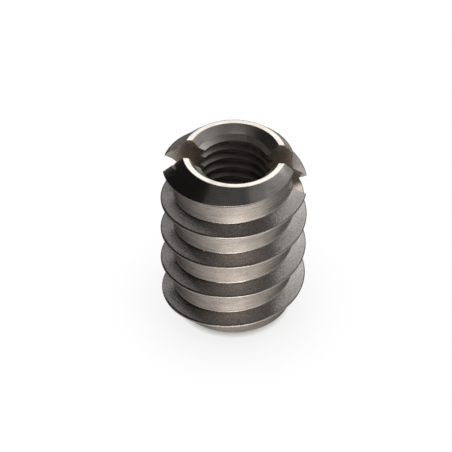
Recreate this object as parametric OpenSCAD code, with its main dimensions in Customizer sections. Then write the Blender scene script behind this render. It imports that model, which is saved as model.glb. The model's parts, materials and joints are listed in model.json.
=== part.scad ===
// Slotted threaded insert: a turned steel bush with a coarse self-cutting
// thread outside, a tapped bore inside and a driver slot across one end.
// +Z runs along the axis towards the slotted end. The origin is the centre
// of the plain end's face, and the driver slot runs along X.
// All sizes are in millimetres and all angles in degrees.

/* [Body] */
// Length from the plain end's face to the slotted end's rim
body_length = 24.7; // [16:0.1:60]
// Diameter of the core between the turns of the outer thread
core_diameter = 15; // [12.5:0.1:18]
// Width, seen along the axis, of the chamfer that the slotted end cuts on the core
rim_chamfer = 1; // [0.4:0.1:1.4]
// Slope of the slotted end's chamfer, measured from the axis
rim_chamfer_angle = 45; // [30:1:60]
// Width of the flat rim round the mouth at the slotted end
rim_width = 0.75; // [0.3:0.05:1.2]
// Width, seen along the axis, of the chamfer that the plain end cuts on the core
foot_chamfer = 1.1; // [0.4:0.1:1.4]
// Slope of the plain end's chamfer, measured from the axis
foot_chamfer_angle = 45; // [30:1:60]
// Width of the flat ring that the plain end stands on
foot_width = 0.8; // [0.3:0.05:1.2]

/* [Outer thread] */
// Diameter over the crests
thread_diameter = 18.5; // [18.1:0.1:22.5]
// Rise of the thread in one turn
thread_pitch = 5; // [3.6:0.1:8]
// Width of the narrow flat along the crest
crest_width = 0.35; // [0.1:0.05:0.6]
// Slope of the flank that faces the slotted end, from square to the axis
upper_flank_angle = 25; // [10:1:30]
// Slope of the flank that faces the plain end, from square to the axis
lower_flank_angle = 33; // [10:1:36]
// Direction round the axis, from +X, in which the crest would meet the rim's plane
thread_start_angle = -12; // [-180:1:180]

/* [Driver slot] */
// Width of the slot
slot_width = 3.4; // [1.6:0.1:5]
// Depth of the slot below the rim
slot_depth = 5.2; // [1.5:0.1:8]
// Distance of the slot's middle plane from the axis, towards +Y
slot_offset = 0.3; // [-0.6:0.1:0.6]

/* [Bore] */
// Diameter over the inner thread's crests, for an M10 screw
bore_diameter = 8.6; // [6:0.1:10.4]
// Full angle of the countersink at the slotted end
mouth_angle = 90; // [60:1:120]
// Full angle of the countersink at the plain end
foot_mouth_angle = 90; // [60:1:120]

/* [Hidden] */
steel = [0.66, 0.64, 0.61];
round_sides = 128;
// A prime number, so that no cross-section's corner lies exactly on a chamfer
steps_per_turn = 61;
// How far the tooth reaches into the core, so that the two are one solid
tooth_root_overlap = 0.3;
// How far a cutting shape runs past the surface that it cuts
overrun = 1;

core_radius = core_diameter / 2;
thread_radius = thread_diameter / 2;
blank_radius = thread_radius + overrun;
bore_radius = bore_diameter / 2;
rim_radius = core_radius - rim_chamfer;
foot_radius = core_radius - foot_chamfer;
mouth_radius = rim_radius - rim_width;
foot_mouth_radius = foot_radius - foot_width;

// One cross-section of the tooth at a height, as four points going round it.
// The crest's direction follows from its height, so the thread is right-handed.
function tooth_section(height) =
    let(
        root_radius = core_radius - tooth_root_overlap,
        tooth_depth = thread_radius - root_radius,
        upper_rise = tooth_depth * tan(upper_flank_angle),
        lower_drop = tooth_depth * tan(lower_flank_angle),
        angle = thread_start_angle + 360 * (height - body_length) / thread_pitch,
        outline = [
            [root_radius, -crest_width / 2 - lower_drop],
            [thread_radius, -crest_width / 2],
            [thread_radius, crest_width / 2],
            [root_radius, crest_width / 2 + upper_rise]
        ]
    )
    [for (corner = outline)
        [corner.x * cos(angle), corner.x * sin(angle), height + corner.y]];

// The coarse outer thread's tooth, running one pitch past each end of the body
module outer_tooth() {
    corners = 4;
    last_step = ceil(steps_per_turn * (body_length / thread_pitch + 2));
    points = [for (step = [0 : last_step])
        each tooth_section(thread_pitch * (step / steps_per_turn - 1))];
    sides = [for (step = [0 : last_step - 1], corner = [0 : corners - 1])
        let(
            a = step * corners + corner,
            b = step * corners + (corner + 1) % corners
        )
        each [[a, b, b + corners], [a, b + corners, a + corners]]];
    end = last_step * corners;
    caps = [[0, 3, 2], [0, 2, 1], [end, end + 1, end + 2], [end, end + 2, end + 3]];
    polyhedron(points = points, faces = concat(sides, caps), convexity = 12);
}

// The plain turned shape that bounds the insert: flat ends and two chamfers
module turned_blank() {
    rim_drop = (blank_radius - rim_radius) / tan(rim_chamfer_angle);
    foot_rise = (blank_radius - foot_radius) / tan(foot_chamfer_angle);
    rotate_extrude($fn = round_sides)
        polygon([
            [0, 0],
            [foot_radius, 0],
            [blank_radius, foot_rise],
            [blank_radius, body_length - rim_drop],
            [rim_radius, body_length],
            [0, body_length]
        ]);
}

// The core cylinder with the outer thread, trimmed by the turned blank
module threaded_body() {
    intersection() {
        union() {
            cylinder(h = body_length, r = core_radius, $fn = round_sides);
            outer_tooth();
        }
        turned_blank();
    }
}

// The tapped hole at its crest diameter, right through, with no countersinks
module bore() {
    translate([0, 0, -overrun])
        cylinder(h = body_length + 2 * overrun, r = bore_radius, $fn = round_sides);
}

// A countersink that opens towards +Z, with the middle of its mouth at the origin
module countersink(radius, full_angle) {
    slope = tan(full_angle / 2);
    depth = (radius - bore_radius) / slope;
    translate([0, 0, -depth])
        cylinder(
            h = depth + overrun, r1 = bore_radius, r2 = radius + overrun * slope, $fn = round_sides
        );
}

// The straight slot that a blade drives, open at both sides
module driver_slot() {
    translate([-blank_radius, slot_offset - slot_width / 2, body_length - slot_depth])
        cube([2 * blank_radius, slot_width, slot_depth + overrun]);
}

module insert() {
    color(steel)
        difference() {
            threaded_body();
            bore();
            translate([0, 0, body_length])
                countersink(mouth_radius, mouth_angle);
            mirror([0, 0, 1])
                countersink(foot_mouth_radius, foot_mouth_angle);
            driver_slot();
        }
}

insert();
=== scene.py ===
"""Looks of a slotted threaded insert in turned stainless steel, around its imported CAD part.

Named sizes are in millimetres, except LAMP_DISTANCE and FLOOR_REACH, which are in metres like
the sizes of every lamp and card. The insert's mesh is scaled to metres when it is finished. +Z
is the insert's axis, towards its slotted end, and the origin is the centre of its plain end.
"""

import json
import math

import bmesh
import bpy
import numpy as np
from mathutils import Matrix, Vector


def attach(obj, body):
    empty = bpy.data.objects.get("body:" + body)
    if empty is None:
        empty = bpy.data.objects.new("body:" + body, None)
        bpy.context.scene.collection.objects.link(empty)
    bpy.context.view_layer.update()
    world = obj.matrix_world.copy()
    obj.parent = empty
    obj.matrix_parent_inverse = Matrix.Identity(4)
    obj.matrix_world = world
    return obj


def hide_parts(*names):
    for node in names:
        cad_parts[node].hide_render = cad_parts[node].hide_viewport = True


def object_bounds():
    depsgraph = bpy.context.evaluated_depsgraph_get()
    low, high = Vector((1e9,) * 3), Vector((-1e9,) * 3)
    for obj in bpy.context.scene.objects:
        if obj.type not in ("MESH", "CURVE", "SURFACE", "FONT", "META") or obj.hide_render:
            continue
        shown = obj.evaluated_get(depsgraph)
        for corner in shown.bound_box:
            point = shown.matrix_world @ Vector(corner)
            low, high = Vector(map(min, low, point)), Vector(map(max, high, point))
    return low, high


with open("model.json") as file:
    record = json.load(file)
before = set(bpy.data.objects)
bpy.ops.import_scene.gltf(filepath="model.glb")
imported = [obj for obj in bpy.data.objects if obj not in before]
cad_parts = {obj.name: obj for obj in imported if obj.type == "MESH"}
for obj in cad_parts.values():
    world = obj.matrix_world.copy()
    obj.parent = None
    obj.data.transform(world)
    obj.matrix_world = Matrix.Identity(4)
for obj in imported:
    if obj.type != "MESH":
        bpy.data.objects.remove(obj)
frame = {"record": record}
cad_low, cad_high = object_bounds()

# --- Sizes taken from the frame ---------------------------------------------------------
MM = 0.001
MOUNTS = {mount["name"]: mount for mount in frame["record"]["mounts"]}
LENGTH = cad_high.z / MM
CREST_RADIUS = cad_high.x / MM
BORE_RADIUS = MOUNTS["screw_bore"]["dims"]["r_mm"]
SLOT_WIDTH = 2 * MOUNTS["driver_slot"]["dims"]["hole_r_mm"]
SLOT_OFFSET = MOUNTS["driver_slot"]["pos_m"][1] / MM
SLOT_FLOOR = MOUNTS["driver_slot"]["pos_m"][2] / MM

# --- Outer thread -----------------------------------------------------------------------
CORE_RADIUS = 7.5
THREAD_PITCH = 5.0
# Direction from +X in which the crest's middle would meet the rim's plane
THREAD_START = math.radians(-12)
# Heights of the crest's two corners from its middle, and their roundings
CREST_TOP = 0.18
CREST_ROUND = 0.30
CREST_FOOT = -0.12
LOWER_CREST_ROUND = 0.10
# How much nearer to the axis the crest's upper corner is
CREST_LEAN = 0.03
# Slopes of the outer and the inner half of the upper flank, and the rounding between them
OUTER_FLANK = math.radians(20)
INWARD_FLANK = math.radians(31)
FLANK_ROUND = 7.0
# The lower flank's corner between its flat outer and steep inner part
LOWER_BEND_RADIUS = 8.2
LOWER_BEND = -0.60
LOWER_BEND_ROUND = 0.8
LOWER_ROOT = -1.30
ROOT_ROUND = 0.26
LOWER_ROOT_ROUND = 0.3
THREAD_STEPS = 240
# Turns that a thread runs past each end before the ends are cut
SPARE_TURNS = 2

# --- Inner thread, M10 x 1.5 ------------------------------------------------------------
INNER_PITCH = 1.5
INNER_ROOT_RADIUS = 5.0
INNER_FLANK = math.radians(30)
INNER_ROOT_WIDTH = 0.19
INNER_ROUND = 0.05
# Height from the rim of the top of one of the inner thread's lands, and in which direction
INNER_LAND_TOP = -1.46
INNER_LAND_ANGLE = math.radians(93.5)
INNER_STEPS = 120

# --- Turned ends ------------------------------------------------------------------------
RIM_CHAMFER = 1.0
RIM_WIDTH = 0.75
RIM_RADIUS = CORE_RADIUS - RIM_CHAMFER
MOUTH_RADIUS = RIM_RADIUS - RIM_WIDTH
FOOT_CHAMFER = 1.1
FOOT_WIDTH = 0.8
FOOT_RADIUS = CORE_RADIUS - FOOT_CHAMFER
FOOT_MOUTH_RADIUS = FOOT_RADIUS - FOOT_WIDTH
# Slopes, from the axis, of the mouth's cone and of the drill's cone within THROAT_RADIUS
MOUTH_SLOPE = math.radians(32.5)
THROAT_RADIUS = 5.05
THROAT_SLOPE = math.radians(59)
EDGE_ROUND = 0.06
SLOT_CORNER_ROUND = 0.05
TURNED_STEPS = 240
ARC_STEP = math.radians(18)
OVERRUN = 1.0
SHARP_EDGE = math.radians(30)

# --- Steel ------------------------------------------------------------------------------
BARE_STEEL = (0.625, 0.59, 0.56)
# Painted light: the countersunk cone's steel is lighter than the bare steel
COUNTERSUNK_STEEL_PAINTED_LIGHTER = (0.70, 0.66, 0.62)
# Painted shade: the tapped bore's steel is darker than the bare steel
TAPPED_STEEL_PAINTED_DARKER = (0.45, 0.42, 0.39)
MILLED_STEEL = (0.60, 0.55, 0.49)
# Turning marks and grains to the millimetre
FINE_MARKS = 9.0
COARSE_MARKS = 2.6
SPECKLES = 4.0
CLOUDS = 0.5
# How quickly turning marks change round a turn, and up the axis
CHANGE_ROUND = 3.0
CHANGE_UP = 0.7
# Values of the mixed marks and grain that count as darkest and as lightest
TONE_LOW = 0.3
TONE_HIGH = 0.7
# Shares of the steel's own colour and roughness at its darkest and lightest
DARKEST = 0.70
LIGHTEST = 1.24
ROUGHEST = 1.2
SMOOTHEST = 0.85
# How a flank that looks down differs: share of the colour left, which is a painted shade, and
# roughness added
UNDERSIDE_PAINTED_SHADE = 0.42
UNDERSIDE_ROUGHNESS = 0.12
# Share of the turning marks' height that a flank loses
FLANK_POLISH = 0.7
# Nicks: cells to the millimetre, share of cells with a nick, and depth
NICK_CELLS = 0.65
NICK_CHANCE = 0.25
NICK_DEPTH = 3.0
# Where a nick's flat middle ends and where its slope ends, as shares of a cell
NICK_MIDDLE = 0.05
NICK_EDGE = 0.09
# The unit of the heights of nicks, marks and grain, in millimetres
RELIEF_UNIT = 0.01

# --- Camera -----------------------------------------------------------------------------
CAMERA_AZIMUTH = 3.45
CAMERA_ELEVATION = 41.79
CAMERA_ROLL = 0.82
CAMERA_DISTANCE = 470.1
CAMERA_AIM_BELOW_RIM = 12.16
CAMERA_LENS = 295.3
CAMERA_SHIFT = -0.0164

# --- Studio -----------------------------------------------------------------------------
LAMP_DISTANCE = 0.60
KEY_TINT = (1.03, 1.0, 0.95)
WARM = (1.07, 1.0, 0.93)
WALL_PARTS = 24
DISC_SIDES = 48
FLOOR_REACH = 3.0
# How pale the floor's own paper is
PAPER = 0.86
# Distances from the axis at which the floor's own white starts and is full, and its share
# of that white at the core's edge
WHITE_FROM = 6.0
WHITE_FULL = 18.0
WHITE_AT_CORE = 0.84
# The floor card has a painted shadow close to the insert: it has CONTACT_SHADE of its
# brightness up to the first distance from the axis, and all of it from the second on
CONTACT_FROM = 9.0
CONTACT_TO = 15.0
CONTACT_SHADE = 0.45
# Distances from the axis at which a lobe of the floor card has its near and its far value
LOBE_NEAR = 35.0
LOBE_FAR = 90.0
# The surround's brightness at the horizon and above it, and how high the change reaches
HORIZON = 0.50
UPPER_SKY = 0.07
HORIZON_TOP = 0.15

ZONES = ["thread", "faced", "countersunk", "tapped", "milled"]


# --- Outlines ---------------------------------------------------------------------------
def corner_arc(before, corner, after):
    """Points of the arc that rounds a corner, which is (radius, height, rounding)."""
    point, rounding = np.array(corner[:2]), corner[2]
    if rounding == 0:
        return [point]
    back = np.array(before[:2]) - point
    ahead = np.array(after[:2]) - point
    back /= np.linalg.norm(back)
    ahead /= np.linalg.norm(ahead)
    half = math.acos(np.clip(back @ ahead, -1, 1)) / 2
    middle = (back + ahead) / np.linalg.norm(back + ahead)
    centre = point + middle * rounding / math.sin(half)
    spoke = point + back * rounding / math.tan(half) - centre
    side = np.sign(spoke[0] * (point - centre)[1] - spoke[1] * (point - centre)[0])
    sweep = side * (math.pi - 2 * half)
    count = max(2, math.ceil(abs(sweep) / ARC_STEP))
    turns = [sweep * step / count for step in range(count + 1)]
    return [centre + np.array([spoke[0] * math.cos(a) - spoke[1] * math.sin(a),
                               spoke[0] * math.sin(a) + spoke[1] * math.cos(a)]) for a in turns]


def rounded(corners):
    """An open outline through the corners, each (radius, height, rounding)."""
    points = [np.array(corners[0][:2])]
    for before, corner, after in zip(corners, corners[1:], corners[2:]):
        points += corner_arc(before, corner, after)
    points.append(np.array(corners[-1][:2]))
    return points


# --- Closed solids ----------------------------------------------------------------------
def new_solid(name, points, faces, zone):
    """A mesh object in millimetres, with every face in one zone of the finish."""
    mesh = bpy.data.meshes.new(name)
    mesh.from_pydata([tuple(point) for point in points], [], faces)
    for material in finishes:
        mesh.materials.append(material)
    mesh.polygons.foreach_set("material_index", [ZONES.index(zone)] * len(faces))
    solid = bpy.data.objects.new(name, mesh)
    bpy.context.scene.collection.objects.link(solid)
    return solid


def helical_solid(name, outline, pitch, start_angle, start_height, turns, steps, zone):
    """A solid bar whose surface is one pitch of outline carried along a helix.

    The last point of the outline is the first point of the turn above it.
    """
    width = len(outline) - 1
    rows = turns * steps
    index = {}
    points = []
    for row in range(rows + steps + 1):
        angle = start_angle + 2 * math.pi * row / steps
        rise = start_height + pitch * row / steps
        for column in range(width if row <= rows else 1):
            radius, height = outline[column]
            index[row, column] = len(points)
            points.append((radius * math.cos(angle), radius * math.sin(angle), rise + height))

    def corner(row, column):
        return index[row, column] if column < width else index[row + steps, 0]

    faces = [(corner(row, column), corner(row + 1, column),
              corner(row + 1, column + 1), corner(row, column + 1))
             for row in range(rows) for column in range(width)]
    for row, flip in ((0, False), (rows, True)):
        loop = [corner(row + step, 0) for step in range(steps)]
        loop += [corner(row, column) for column in range(width, 0, -1)]
        hub = len(points)
        points.append((0, 0, start_height + pitch * (row / steps + 0.5)))
        ring = zip(loop, loop[1:] + loop[:1])
        faces += [(hub, a, b) if flip else (hub, b, a) for a, b in ring]
    return new_solid(name, points, faces, zone)


def revolved_solid(name, outline, zone):
    """A solid of revolution. The outline runs up the outside, from the axis to the axis."""
    ring = outline[1:-1]
    points = [(0, 0, outline[0][1])]
    for step in range(TURNED_STEPS):
        angle = 2 * math.pi * step / TURNED_STEPS
        points += [(radius * math.cos(angle), radius * math.sin(angle), height)
                   for radius, height in ring]
    points.append((0, 0, outline[-1][1]))
    low, high, width = 0, len(points) - 1, len(ring)
    faces = []
    for step in range(TURNED_STEPS):
        here = 1 + step * width
        there = 1 + (step + 1) % TURNED_STEPS * width
        faces += [(here + k, there + k, there + k + 1, here + k + 1) for k in range(width - 1)]
        faces.append((low, there, here))
        faces.append((high, here + width - 1, there + width - 1))
    return new_solid(name, points, faces, zone)


def prism(name, outline, reach, zone):
    """A solid bar along X from an outline of (y, z) points, going round it once."""
    count = len(outline)
    points = [(side, y, z) for side in (-reach, reach) for y, z in outline]
    faces = [tuple(reversed(range(count))), tuple(range(count, 2 * count))]
    faces += [(k, (k + 1) % count, count + (k + 1) % count, count + k) for k in range(count)]
    return new_solid(name, points, faces, zone)


def combine(solid, other, operation):
    """Joins, cuts or trims a solid by another, which is used up."""
    modifier = solid.modifiers.new("combine", "BOOLEAN")
    modifier.operation = operation
    modifier.solver = "MANIFOLD"
    modifier.object = other
    graph = bpy.context.evaluated_depsgraph_get()
    shaped = bpy.data.meshes.new_from_object(solid.evaluated_get(graph))
    solid.modifiers.clear()
    solid.data = shaped
    bpy.data.objects.remove(other)


# --- The insert's shapes ----------------------------------------------------------------
def outer_thread_outline():
    """One pitch of the outer thread, from mid-core to mid-core, round a crest at height 0."""
    half_depth = (CREST_RADIUS - CORE_RADIUS) / 2
    bend = CREST_TOP + half_depth * math.tan(OUTER_FLANK)
    upper_root = bend + half_depth * math.tan(INWARD_FLANK)
    middle = (upper_root + LOWER_ROOT + THREAD_PITCH) / 2
    return rounded([
        (CORE_RADIUS, middle - THREAD_PITCH, 0),
        (CORE_RADIUS, LOWER_ROOT, LOWER_ROOT_ROUND),
        (LOWER_BEND_RADIUS, LOWER_BEND, LOWER_BEND_ROUND),
        (CREST_RADIUS, CREST_FOOT, LOWER_CREST_ROUND),
        (CREST_RADIUS - CREST_LEAN, CREST_TOP, CREST_ROUND),
        (CREST_RADIUS - half_depth, bend, FLANK_ROUND),
        (CORE_RADIUS, upper_root, ROOT_ROUND),
        (CORE_RADIUS, middle, 0),
    ])


def outer_thread():
    """The core with its coarse thread, longer than the insert at both ends."""
    below = math.ceil(LENGTH / THREAD_PITCH) + SPARE_TURNS
    start = LENGTH - below * THREAD_PITCH
    return helical_solid("insert_body", outer_thread_outline(), THREAD_PITCH, THREAD_START, start,
                         below + SPARE_TURNS, THREAD_STEPS, "thread")


def turned_blank():
    """The chamfered blank that bounds the insert."""
    wide = CREST_RADIUS + OVERRUN
    return revolved_solid("blank", rounded([
        (0, 0, 0),
        (FOOT_RADIUS, 0, EDGE_ROUND),
        (wide, wide - FOOT_RADIUS, 0),
        (wide, LENGTH - wide + RIM_RADIUS, 0),
        (RIM_RADIUS, LENGTH, EDGE_ROUND),
        (0, LENGTH, 0),
    ]), "faced")


def countersink(name, radius):
    """A cutter that opens upwards from a drill's flat cone, with its mouth's middle at height 0."""
    wide = radius + OVERRUN
    depth = (radius - THROAT_RADIUS) / math.tan(MOUTH_SLOPE)
    return revolved_solid(name, rounded([
        (0, -depth - THROAT_RADIUS / math.tan(THROAT_SLOPE), 0),
        (THROAT_RADIUS, -depth, EDGE_ROUND),
        (radius - EDGE_ROUND, -EDGE_ROUND / math.tan(MOUTH_SLOPE), 0),
        (radius + EDGE_ROUND, 0, 0),
        (wide, OVERRUN, 0),
        (0, OVERRUN, 0),
    ]), "countersunk")


def tap():
    """The inner thread's cutter, longer than the insert at both ends."""
    depth = INNER_ROOT_RADIUS - BORE_RADIUS
    half = INNER_ROOT_WIDTH / 2
    open_half = half + depth * math.tan(INNER_FLANK)
    outline = rounded([
        (BORE_RADIUS, open_half - INNER_PITCH, 0),
        (BORE_RADIUS, -open_half, INNER_ROUND),
        (INNER_ROOT_RADIUS, -half, INNER_ROUND),
        (INNER_ROOT_RADIUS, half, INNER_ROUND),
        (BORE_RADIUS, open_half, 0),
    ])
    below = math.ceil(LENGTH / INNER_PITCH) + SPARE_TURNS
    start = LENGTH + INNER_LAND_TOP + open_half - below * INNER_PITCH
    return helical_solid("tap", outline, INNER_PITCH, INNER_LAND_ANGLE, start,
                         below + SPARE_TURNS, INNER_STEPS, "tapped")


def slot_cutter():
    """The driver slot, with small rounds along its floor."""
    low, high = SLOT_OFFSET - SLOT_WIDTH / 2, SLOT_OFFSET + SLOT_WIDTH / 2
    outline = rounded([
        (low, LENGTH + OVERRUN, 0),
        (low, SLOT_FLOOR, SLOT_CORNER_ROUND),
        (high, SLOT_FLOOR, SLOT_CORNER_ROUND),
        (high, LENGTH + OVERRUN, 0),
    ])
    return prism("slot", outline, CREST_RADIUS + OVERRUN, "milled")


def mark_edges(mesh):
    """Shades each finished surface smooth and keeps the edges between surfaces sharp."""
    edit = bmesh.new()
    edit.from_mesh(mesh)
    for face in edit.faces:
        face.smooth = True
    for edge in edit.edges:
        if len(edge.link_faces) == 2:
            one, two = edge.link_faces
            same = one.material_index == two.material_index
            edge.smooth = same and edge.calc_face_angle(0) < SHARP_EDGE
    edit.to_mesh(mesh)
    edit.free()


def insert_body():
    """The whole insert as one mesh that stands for the CAD node."""
    body = outer_thread()
    combine(body, turned_blank(), "INTERSECT")
    combine(body, tap(), "DIFFERENCE")
    mouth = countersink("mouth", MOUTH_RADIUS)
    mouth.data.transform(Matrix.Translation((0, 0, LENGTH)))
    combine(body, mouth, "DIFFERENCE")
    foot_mouth = countersink("foot_mouth", FOOT_MOUTH_RADIUS)
    foot_mouth.data.transform(Matrix.Rotation(math.pi, 4, "X"))
    combine(body, foot_mouth, "DIFFERENCE")
    combine(body, slot_cutter(), "DIFFERENCE")
    mark_edges(body.data)
    body.data.transform(Matrix.Scale(MM, 4))
    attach(body, "root")
    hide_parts("insert")


# --- Finishes ---------------------------------------------------------------------------
class Graph:
    """Adds shader nodes to a material or a world and links what their inputs are given."""

    def __init__(self, owner):
        owner.use_nodes = True
        self.tree = owner.node_tree
        self.tree.nodes.clear()

    def add(self, kind, inputs=(), **settings):
        node = self.tree.nodes.new("ShaderNode" + kind)
        for name, value in settings.items():
            setattr(node, name, value)
        for key, value in dict(inputs).items():
            if isinstance(value, bpy.types.NodeSocket):
                self.tree.links.new(value, node.inputs[key])
            else:
                node.inputs[key].default_value = value
        return node

    def math(self, operation, *values):
        return self.add("Math", enumerate(values), operation=operation).outputs[0]

    def blend(self, factor, dark, light):
        """A colour between two, each (red, green, blue) or a socket."""
        # The Mix node's colour sockets, by their places
        first, second, result = 6, 7, 2
        ends = {}
        for key, colour in ((first, dark), (second, light)):
            ends[key] = colour if isinstance(colour, bpy.types.NodeSocket) else (*colour, 1)
        return self.add("Mix", {0: factor, **ends}, data_type="RGBA").outputs[result]

    def ramp(self, value, start, stop, low=0.0, high=1.0, **settings):
        """Low up to start, high from stop on, and a slope between them."""
        inputs = {0: value, 1: start, 2: stop, 3: low, 4: high}
        return self.add("MapRange", inputs, **settings).outputs[0]


def lay(graph, place, pitch):
    """A position across turning marks that follow a helix, and a slow drift along them."""
    axes = graph.add("SeparateXYZ", {0: place}).outputs
    x, y, z = (graph.math("DIVIDE", axis, MM) for axis in axes)
    radius = graph.math("SQRT", graph.math("ADD", graph.math("MULTIPLY", x, x),
                                           graph.math("MULTIPLY", y, y)))
    turn = graph.math("DIVIDE", graph.math("ARCTAN2", y, x), 2 * math.pi)
    height = graph.math("SUBTRACT", z, graph.math("MULTIPLY", turn, pitch))
    if pitch:
        height = graph.math("FLOORED_MODULO", height, pitch)
    across = graph.math("DIVIDE", x, radius)
    along = graph.math("DIVIDE", y, radius)
    drift = graph.math("ADD", graph.math("MULTIPLY", along, CHANGE_ROUND),
                       graph.math("MULTIPLY", z, CHANGE_UP))
    return graph.add("CombineXYZ", {0: radius, 1: height, 2: across}).outputs[0], drift


def noise(graph, place, scale, detail):
    """Even grain, with about scale grains to the millimetre."""
    return graph.add("TexNoise", {"Vector": place, "Scale": scale / MM, "Detail": detail}).outputs[0]


def streaks(graph, position, drift, scale, detail):
    """Turning marks, with about scale marks to the millimetre, that change slowly along them."""
    stretched = graph.add("VectorMath", {0: position, 1: (scale, scale, CHANGE_ROUND)},
                          operation="MULTIPLY").outputs[0]
    return graph.add("TexNoise", {"Vector": stretched, "W": drift, "Scale": 1.0, "Detail": detail},
                     noise_dimensions="4D").outputs[0]


def nicks(graph, place):
    """A few small dents, as 1 inside a dent and 0 outside."""
    cells = graph.add("TexVoronoi", {"Vector": place, "Scale": NICK_CELLS / MM,
                                     "Randomness": 1.0}).outputs
    dent = graph.ramp(cells["Distance"], NICK_MIDDLE, NICK_EDGE, 1.0, 0.0)
    chance = graph.add("SeparateXYZ", {0: cells["Color"]}).outputs[0]
    return graph.math("MULTIPLY", dent, graph.math("GREATER_THAN", chance, 1 - NICK_CHANCE))


def surface_steel(graph, shade, polish, relief, wear):
    """Ends a material as bare steel with a relief, brushed round Z, and with edges worn round."""
    edge = graph.add("Bevel", {"Radius": wear * MM}, samples=6).outputs[0]
    bump = graph.add("Bump", {"Strength": 1.0, "Distance": RELIEF_UNIT * MM, "Height": relief,
                              "Normal": edge})
    tangent = graph.add("Tangent", direction_type="RADIAL", axis="Z").outputs[0]
    steel = graph.add("BsdfPrincipled", {
        "Base Color": shade, "Metallic": 1.0, "Roughness": polish,
        "Anisotropic": 0.5, "Anisotropic Rotation": 0.25, "Normal": bump.outputs[0],
        "Tangent": tangent,
    })
    graph.add("OutputMaterial", {"Surface": steel.outputs[0]})


def turned_steel(name, pitch, colour, roughness, marks, grain, wear, flank_grain=None):
    """Bare steel with turning marks, grain, a few nicks and edges worn round.

    Marks and grain are heights in RELIEF_UNIT, and wear is a radius in millimetres. Where
    flank_grain is given, faces that look up or down take it, and those that look down are
    duller and take a painted shade, a darker colour.
    """
    material = bpy.data.materials.new(name)
    graph = Graph(material)
    coordinates = graph.add("TexCoord").outputs
    place = coordinates["Object"]
    position, drift = lay(graph, place, pitch)
    fine = streaks(graph, position, drift, FINE_MARKS, 3.0)
    coarse = streaks(graph, position, drift, COARSE_MARKS, 2.0)
    speckle = noise(graph, place, SPECKLES, 4.0)
    cloud = noise(graph, place, CLOUDS, 3.0)
    tone = graph.math("ADD", graph.math("MULTIPLY", cloud, 0.35), graph.math("MULTIPLY", fine, 0.35))
    tone = graph.math("MULTIPLY_ADD", coarse, 0.3, tone)
    if flank_grain:
        up = graph.add("SeparateXYZ", {0: coordinates["Normal"]}).outputs["Z"]
        flank = graph.ramp(graph.math("ABSOLUTE", up), 0.3, 0.8)
        # Faces that look down, which take a painted shade and more roughness
        underside_painted_shade_and_dullness = graph.ramp(up, -0.15, -0.5)
        sandy = graph.math("MULTIPLY_ADD", speckle, 0.6, graph.math("MULTIPLY", tone, 0.4))
        tone = graph.add("Mix", {0: flank, 2: tone, 3: sandy}).outputs[0]
        grain = graph.math("MULTIPLY_ADD", flank, flank_grain - grain, grain)
        marks = graph.math("MULTIPLY_ADD", flank, -FLANK_POLISH * marks, marks)
    shade = graph.blend(graph.ramp(tone, TONE_LOW, TONE_HIGH), [c * DARKEST for c in colour],
                        [min(1, c * LIGHTEST) for c in colour])
    polish = graph.ramp(tone, TONE_LOW, TONE_HIGH, roughness * ROUGHEST, roughness * SMOOTHEST)
    if flank_grain:
        # Painted shade: faces that look down take a darker colour, and they are rougher too
        shade = graph.blend(underside_painted_shade_and_dullness, shade, [c * UNDERSIDE_PAINTED_SHADE for c in colour])
        polish = graph.math("MULTIPLY_ADD", underside_painted_shade_and_dullness, UNDERSIDE_ROUGHNESS, polish)
    relief = graph.math("ADD", graph.math("MULTIPLY", graph.math("ADD", fine, coarse), marks),
                        graph.math("MULTIPLY", speckle, grain))
    relief = graph.math("MULTIPLY_ADD", nicks(graph, place), -NICK_DEPTH, relief)
    surface_steel(graph, shade, polish, relief, wear)
    return material


def make_finishes():
    """One material for each zone of the insert, in the order of ZONES."""
    return [
        turned_steel("thread_steel", THREAD_PITCH, BARE_STEEL,
                     roughness=0.25, marks=2.6, grain=0.5, wear=0.06, flank_grain=1.0),
        turned_steel("faced_steel", 0, BARE_STEEL,
                     roughness=0.21, marks=0.3, grain=0.2, wear=0.14),
        # The countersunk steel is painted lighter, a painted light
        turned_steel("countersunk_steel_with_painted_light", 0, COUNTERSUNK_STEEL_PAINTED_LIGHTER,
                     roughness=0.32, marks=0.8, grain=1.2, wear=0.08),
        # The tapped steel is painted darker, a painted shade in the bore
        turned_steel("tapped_steel_with_painted_shade", INNER_PITCH, TAPPED_STEEL_PAINTED_DARKER,
                     roughness=0.36, marks=0.5, grain=0.4, wear=0.06),
        turned_steel("milled_steel", 0, MILLED_STEEL,
                     roughness=0.36, marks=0.3, grain=0.8, wear=0.10),
    ]


# --- Studio -----------------------------------------------------------------------------
def direction(azimuth, elevation):
    """The way from the insert to a thing seen at an azimuth and elevation in degrees.

    Azimuth 0 is the front, on the -Y side, and 90 is the +X side.
    """
    a, e = math.radians(azimuth), math.radians(elevation)
    return Vector((math.sin(a) * math.cos(e), -math.cos(a) * math.cos(e), math.sin(e)))


def studio_place(azimuth, elevation, distance, roll=0):
    """A matrix that puts a thing at a distance from the insert's middle, facing it.

    A positive roll, in degrees, lifts the end that has the greater azimuth.
    """
    toward = direction(azimuth, elevation)
    turn = toward.to_track_quat("Z", "Y").to_matrix().to_4x4()
    turn @= Matrix.Rotation(math.radians(roll), 4, "Z")
    return Matrix.Translation(toward * distance + Vector((0, 0, LENGTH * MM / 2))) @ turn


def softbox(name, azimuth, elevation, size, radiance, colour=(1, 1, 1), distance=LAMP_DISTANCE):
    """A lamp of size (width, height) that looks equally bright from wherever it is seen."""
    width, height = size
    data = bpy.data.lights.new(name, "AREA")
    data.shape = "RECTANGLE"
    data.size, data.size_y = width, height
    data.energy = radiance * math.pi * width * height
    data.color = colour
    lamp = bpy.data.objects.new(name, data)
    lamp.matrix_world = studio_place(azimuth, elevation, distance)
    lamp.visible_camera = False
    bpy.context.scene.collection.objects.link(lamp)
    return lamp


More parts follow.
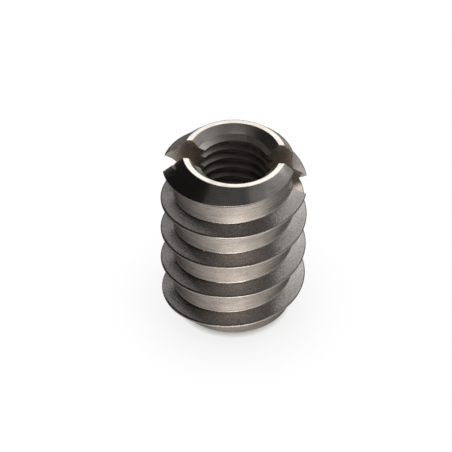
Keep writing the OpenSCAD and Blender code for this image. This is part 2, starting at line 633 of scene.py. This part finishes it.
def stage_card(name, corners, faces, material):
    """A card that only reflections see."""
    mesh = bpy.data.meshes.new(name)
    mesh.from_pydata(corners, [], faces)
    mesh.materials.append(material)
    card = bpy.data.objects.new(name, mesh)
    card.visible_camera = False
    card.visible_diffuse = False
    card.visible_shadow = False
    bpy.context.scene.collection.objects.link(card)
    return card


def plain_glow(name, shade):
    """An even glow, for a card."""
    material = bpy.data.materials.new(name)
    graph = Graph(material)
    glow = graph.add("Emission", {"Color": (shade, shade, shade, 1), "Strength": 1.0})
    graph.add("OutputMaterial", {"Surface": glow.outputs[0]})
    return material


def flag(name, azimuth, elevation, size, distance, roll, shade):
    """A dark card, of size (width, height), that faces the insert like a photographer's flag."""
    w, h = size[0] / 2, size[1] / 2
    place = studio_place(azimuth, elevation, distance, roll)
    corners = [place @ Vector(corner) for corner in ((-w, -h, 0), (w, -h, 0), (w, h, 0), (-w, h, 0))]
    stage_card(name, corners, [(0, 1, 2, 3)], plain_glow(name, shade))


def low_wall(name, first, last, distance, height, shade):
    """A low dark strip that stands round the insert from one azimuth to another."""
    azimuths = [first + (last - first) * k / WALL_PARTS for k in range(WALL_PARTS + 1)]
    feet = [direction(azimuth, 0) * distance for azimuth in azimuths]
    corners = feet + [foot + Vector((0, 0, height)) for foot in feet]
    faces = [(k, k + 1, WALL_PARTS + k + 2, WALL_PARTS + k + 1) for k in range(WALL_PARTS)]
    stage_card(name, corners, faces, plain_glow(name, shade))


def floor_card(name, reach, dark, lobes):
    """A dark disc on the floor round the insert, paler towards the azimuth of each lobe and darker
    close to the insert, a painted shadow.

    A lobe is (azimuth, sharpness, near, far): how pale it is close by and further out.
    """
    material = bpy.data.materials.new(name)
    graph = Graph(material)
    place = graph.add("TexCoord").outputs["Object"]
    way = graph.add("VectorMath", {0: place}, operation="NORMALIZE").outputs[0]
    away = graph.add("VectorMath", {0: place}, operation="LENGTH").outputs["Value"]
    level = dark
    for azimuth, sharpness, near, far in lobes:
        facing = graph.add("VectorMath", {0: way, 1: direction(azimuth, 0)},
                           operation="DOT_PRODUCT").outputs["Value"]
        lobe = graph.math("POWER", graph.math("MULTIPLY_ADD", facing, 0.5, 0.5), sharpness)
        pale = graph.ramp(away, LOBE_NEAR * MM, LOBE_FAR * MM, near, far)
        level = graph.math("MULTIPLY_ADD", lobe, pale, level)
    # Painted shadow: the card's glow is dimmer close to the insert
    shade = graph.ramp(away, CONTACT_FROM * MM, CONTACT_TO * MM, CONTACT_SHADE, 1.0)
    level = graph.math("MULTIPLY", level, shade)
    glow = graph.add("Emission", {"Color": (*WARM, 1), "Strength": level})
    graph.add("OutputMaterial", {"Surface": glow.outputs[0]})
    corners = [direction(360 * k / DISC_SIDES, 0) * reach for k in range(DISC_SIDES)]
    card = stage_card(name, corners, [tuple(reversed(range(DISC_SIDES)))], material)
    card.location.z = 0.1 * MM


def floor():
    """A pale floor that looks white and still takes the insert's soft shadow."""
    corners = [(x * FLOOR_REACH, y * FLOOR_REACH, 0) for x, y in ((-1, -1), (1, -1), (1, 1), (-1, 1))]
    mesh = bpy.data.meshes.new("floor")
    mesh.from_pydata(corners, [], [(0, 1, 2, 3)])
    material = bpy.data.materials.new("floor_paper")
    graph = Graph(material)
    ray = graph.add("LightPath").outputs
    seen = graph.math("MAXIMUM", ray["Is Camera Ray"],
                      graph.math("MAXIMUM", ray["Is Glossy Ray"], ray["Is Transmission Ray"]))
    away = graph.add("VectorMath", {0: graph.add("TexCoord").outputs["Object"]},
                     operation="LENGTH").outputs["Value"]
    under = graph.ramp(away, WHITE_FROM * MM, CORE_RADIUS * MM, 0.0, WHITE_AT_CORE)
    open_floor = graph.ramp(away, CORE_RADIUS * MM, WHITE_FULL * MM, 0.0, 1 - WHITE_AT_CORE,
                            interpolation_type="SMOOTHSTEP")
    share = graph.math("MULTIPLY", seen, graph.math("ADD", under, open_floor))
    paper = graph.add("BsdfDiffuse", {"Color": (PAPER, PAPER, PAPER, 1)})
    white = graph.add("Emission", {"Color": (1, 1, 1, 1), "Strength": 1.0})
    mix = graph.add("MixShader", {0: share, 1: paper.outputs[0], 2: white.outputs[0]})
    graph.add("OutputMaterial", {"Surface": mix.outputs[0]})
    mesh.materials.append(material)
    ground = bpy.data.objects.new("floor", mesh)
    bpy.context.scene.collection.objects.link(ground)


def sky():
    """A plain surround, pale at the horizon and darker above."""
    world = bpy.data.worlds.new("surround")
    graph = Graph(world)
    way = graph.add("TexCoord").outputs["Generated"]
    up = graph.add("SeparateXYZ", {0: way}).outputs["Z"]
    level = graph.ramp(up, 0.0, HORIZON_TOP, HORIZON, UPPER_SKY, interpolation_type="SMOOTHSTEP")
    glow = graph.add("Background", {"Color": (1, 1, 1, 1), "Strength": level})
    graph.add("OutputWorld", {"Surface": glow.outputs[0]})
    bpy.context.scene.world = world


def studio():
    """The lamps and cards round the insert."""
    softbox("key", 180, 42, size=(0.33, 0.26), radiance=1.66, colour=KEY_TINT)
    softbox("right_back", 133, 47, size=(0.46, 0.54), radiance=0.42)
    softbox("right_low", 152, 22, size=(0.34, 0.24), radiance=0.30)
    softbox("right_fill", 100, 26, size=(1.10, 0.42), radiance=0.23)
    softbox("right_edge", 58, 46, size=(0.32, 0.22), radiance=0.12)
    softbox("left_back", -147, 29, size=(0.40, 0.40), radiance=0.25)
    softbox("left_high", -140, 59, size=(0.34, 0.24), radiance=0.24)
    softbox("front_low", -2, 3, size=(0.50, 0.24), radiance=2.3, colour=WARM)
    softbox("front_wide", 22, 6, size=(0.72, 0.22), radiance=0.6, colour=WARM)
    overhead = softbox("overhead", 0, 90, size=(1.2, 1.2), radiance=1.5, distance=0.80)
    overhead.visible_glossy = False
    flag("left_flag", -92, 26, size=(0.60, 0.36), distance=0.40, roll=22, shade=0.006)
    low_wall("low_wall", first=58, last=325, distance=0.35, height=0.05, shade=0.05)
    floor_card("floor_card", reach=0.30, dark=0.06, lobes=[
        (10, 3.0, 0.70, 0.60),
        (15, 12.0, 0.0, 1.0),
        (-105, 4.0, 0.08, 0.0),
        (150, 6.0, 0.05, 0.30),
    ])
    floor()
    sky()


def camera():
    """A long lens from in front and above."""
    data = bpy.data.cameras.new("camera")
    data.lens = CAMERA_LENS
    data.shift_x = CAMERA_SHIFT
    data.clip_start, data.clip_end = 0.01, 10
    view = bpy.data.objects.new("camera", data)
    aim = Vector((0, 0, (LENGTH - CAMERA_AIM_BELOW_RIM) * MM))
    toward = direction(CAMERA_AZIMUTH, CAMERA_ELEVATION)
    turn = toward.to_track_quat("Z", "Y").to_matrix().to_4x4()
    roll = Matrix.Rotation(math.radians(CAMERA_ROLL), 4, "Z")
    view.matrix_world = Matrix.Translation(aim + toward * CAMERA_DISTANCE * MM) @ turn @ roll
    bpy.context.scene.collection.objects.link(view)
    bpy.context.scene.camera = view


finishes = make_finishes()
insert_body()
camera()
studio()
bpy.context.scene.view_settings.view_transform = "Standard"
